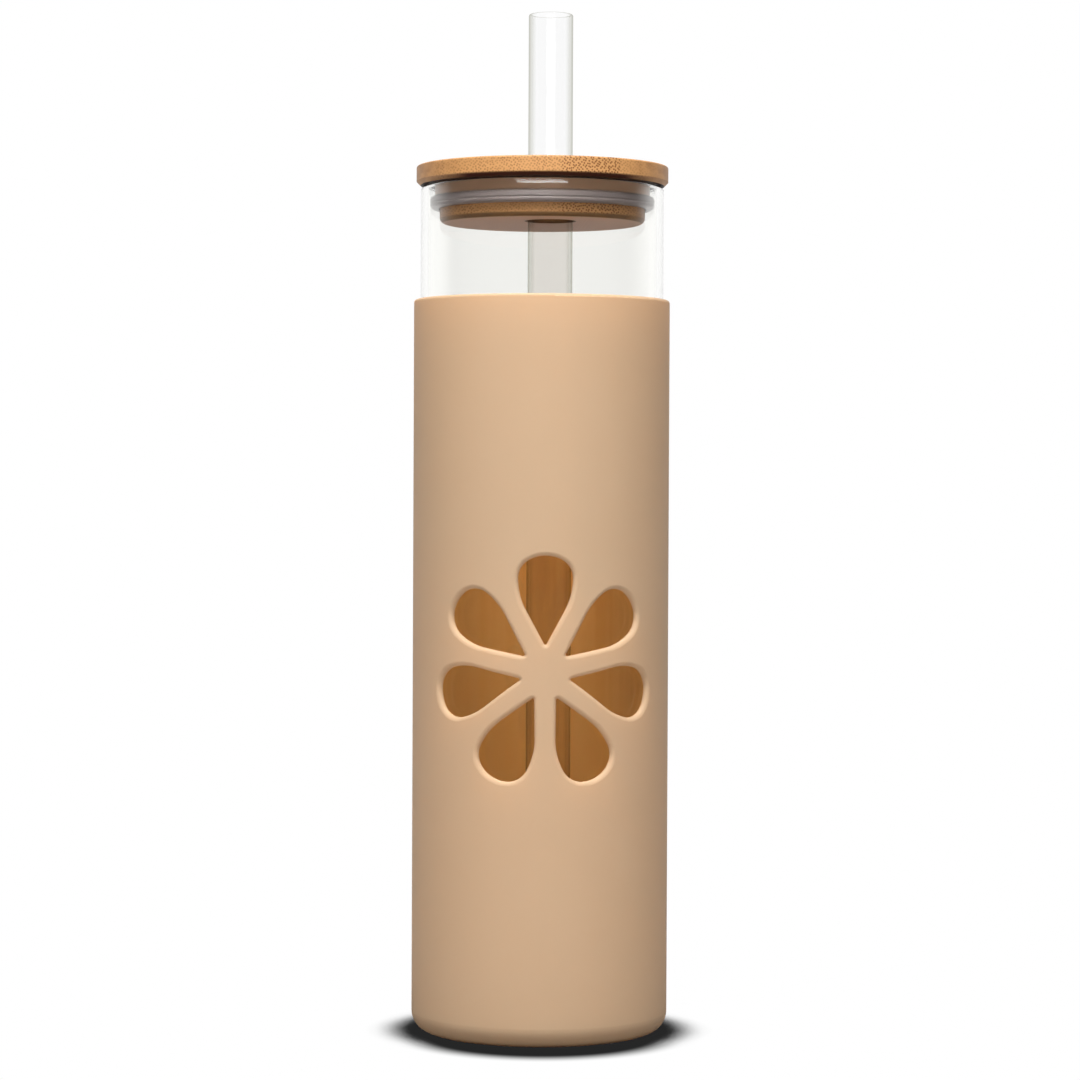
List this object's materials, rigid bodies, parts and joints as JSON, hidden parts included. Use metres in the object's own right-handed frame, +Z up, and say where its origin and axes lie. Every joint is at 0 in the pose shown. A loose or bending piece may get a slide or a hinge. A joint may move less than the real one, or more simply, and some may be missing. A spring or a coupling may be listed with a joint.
{
  "type": "glass water bottle",
  "caption": "Tall clear glass tumbler in a silicone sleeve with petal windows, closed by a bamboo lid with a finned seal, and drunk from through a glass straw.",
  "frame": {"origin": "centre of the sleeve's flat underside, on the surface the bottle stands on", "axes": "+Z up along the bottle's axis, -Y out of the front, where the window group is, +X to the right seen from the front"},
  "size_m": [0.07, 0.07, 0.2767],
  "materials": {
    "sleeve_silicone": "matte silicone, sand colour",
    "tumbler_glass": "clear polished",
    "straw_glass": "clear polished",
    "bamboo": "sanded and oiled, satin",
    "seal_silicone": "translucent, satin"
  },
  "bodies": {
    "sleeve": {"sleeve": "sleeve_silicone"},
    "tumbler": {"tumbler": "tumbler_glass"},
    "seal": {"lid_seal": "seal_silicone"},
    "lid": {"lid_disc": "bamboo", "lid_plug": "bamboo"},
    "straw": {"straw": "straw_glass"}
  },
  "joints": [
    {"name": "tumbler_lift", "type": "slide", "parent": "sleeve", "child": "tumbler", "axis": [0, 0, 1], "range_m": [0, 0.2]},
    {"name": "lid_lift", "type": "slide", "parent": "tumbler", "child": "seal", "axis": [0, 0, 1], "range_m": [0, 0.23]},
    {"name": "lid_turn", "type": "hinge", "parent": "seal", "child": "lid", "pos_m": [0, 0, 0.2281], "axis": [0, 0, 1], "continuous": true},
    {"name": "straw_lift", "type": "slide", "parent": "lid", "child": "straw", "axis": [0, 0, 1], "range_m": [0, 0.235]}
  ]
}
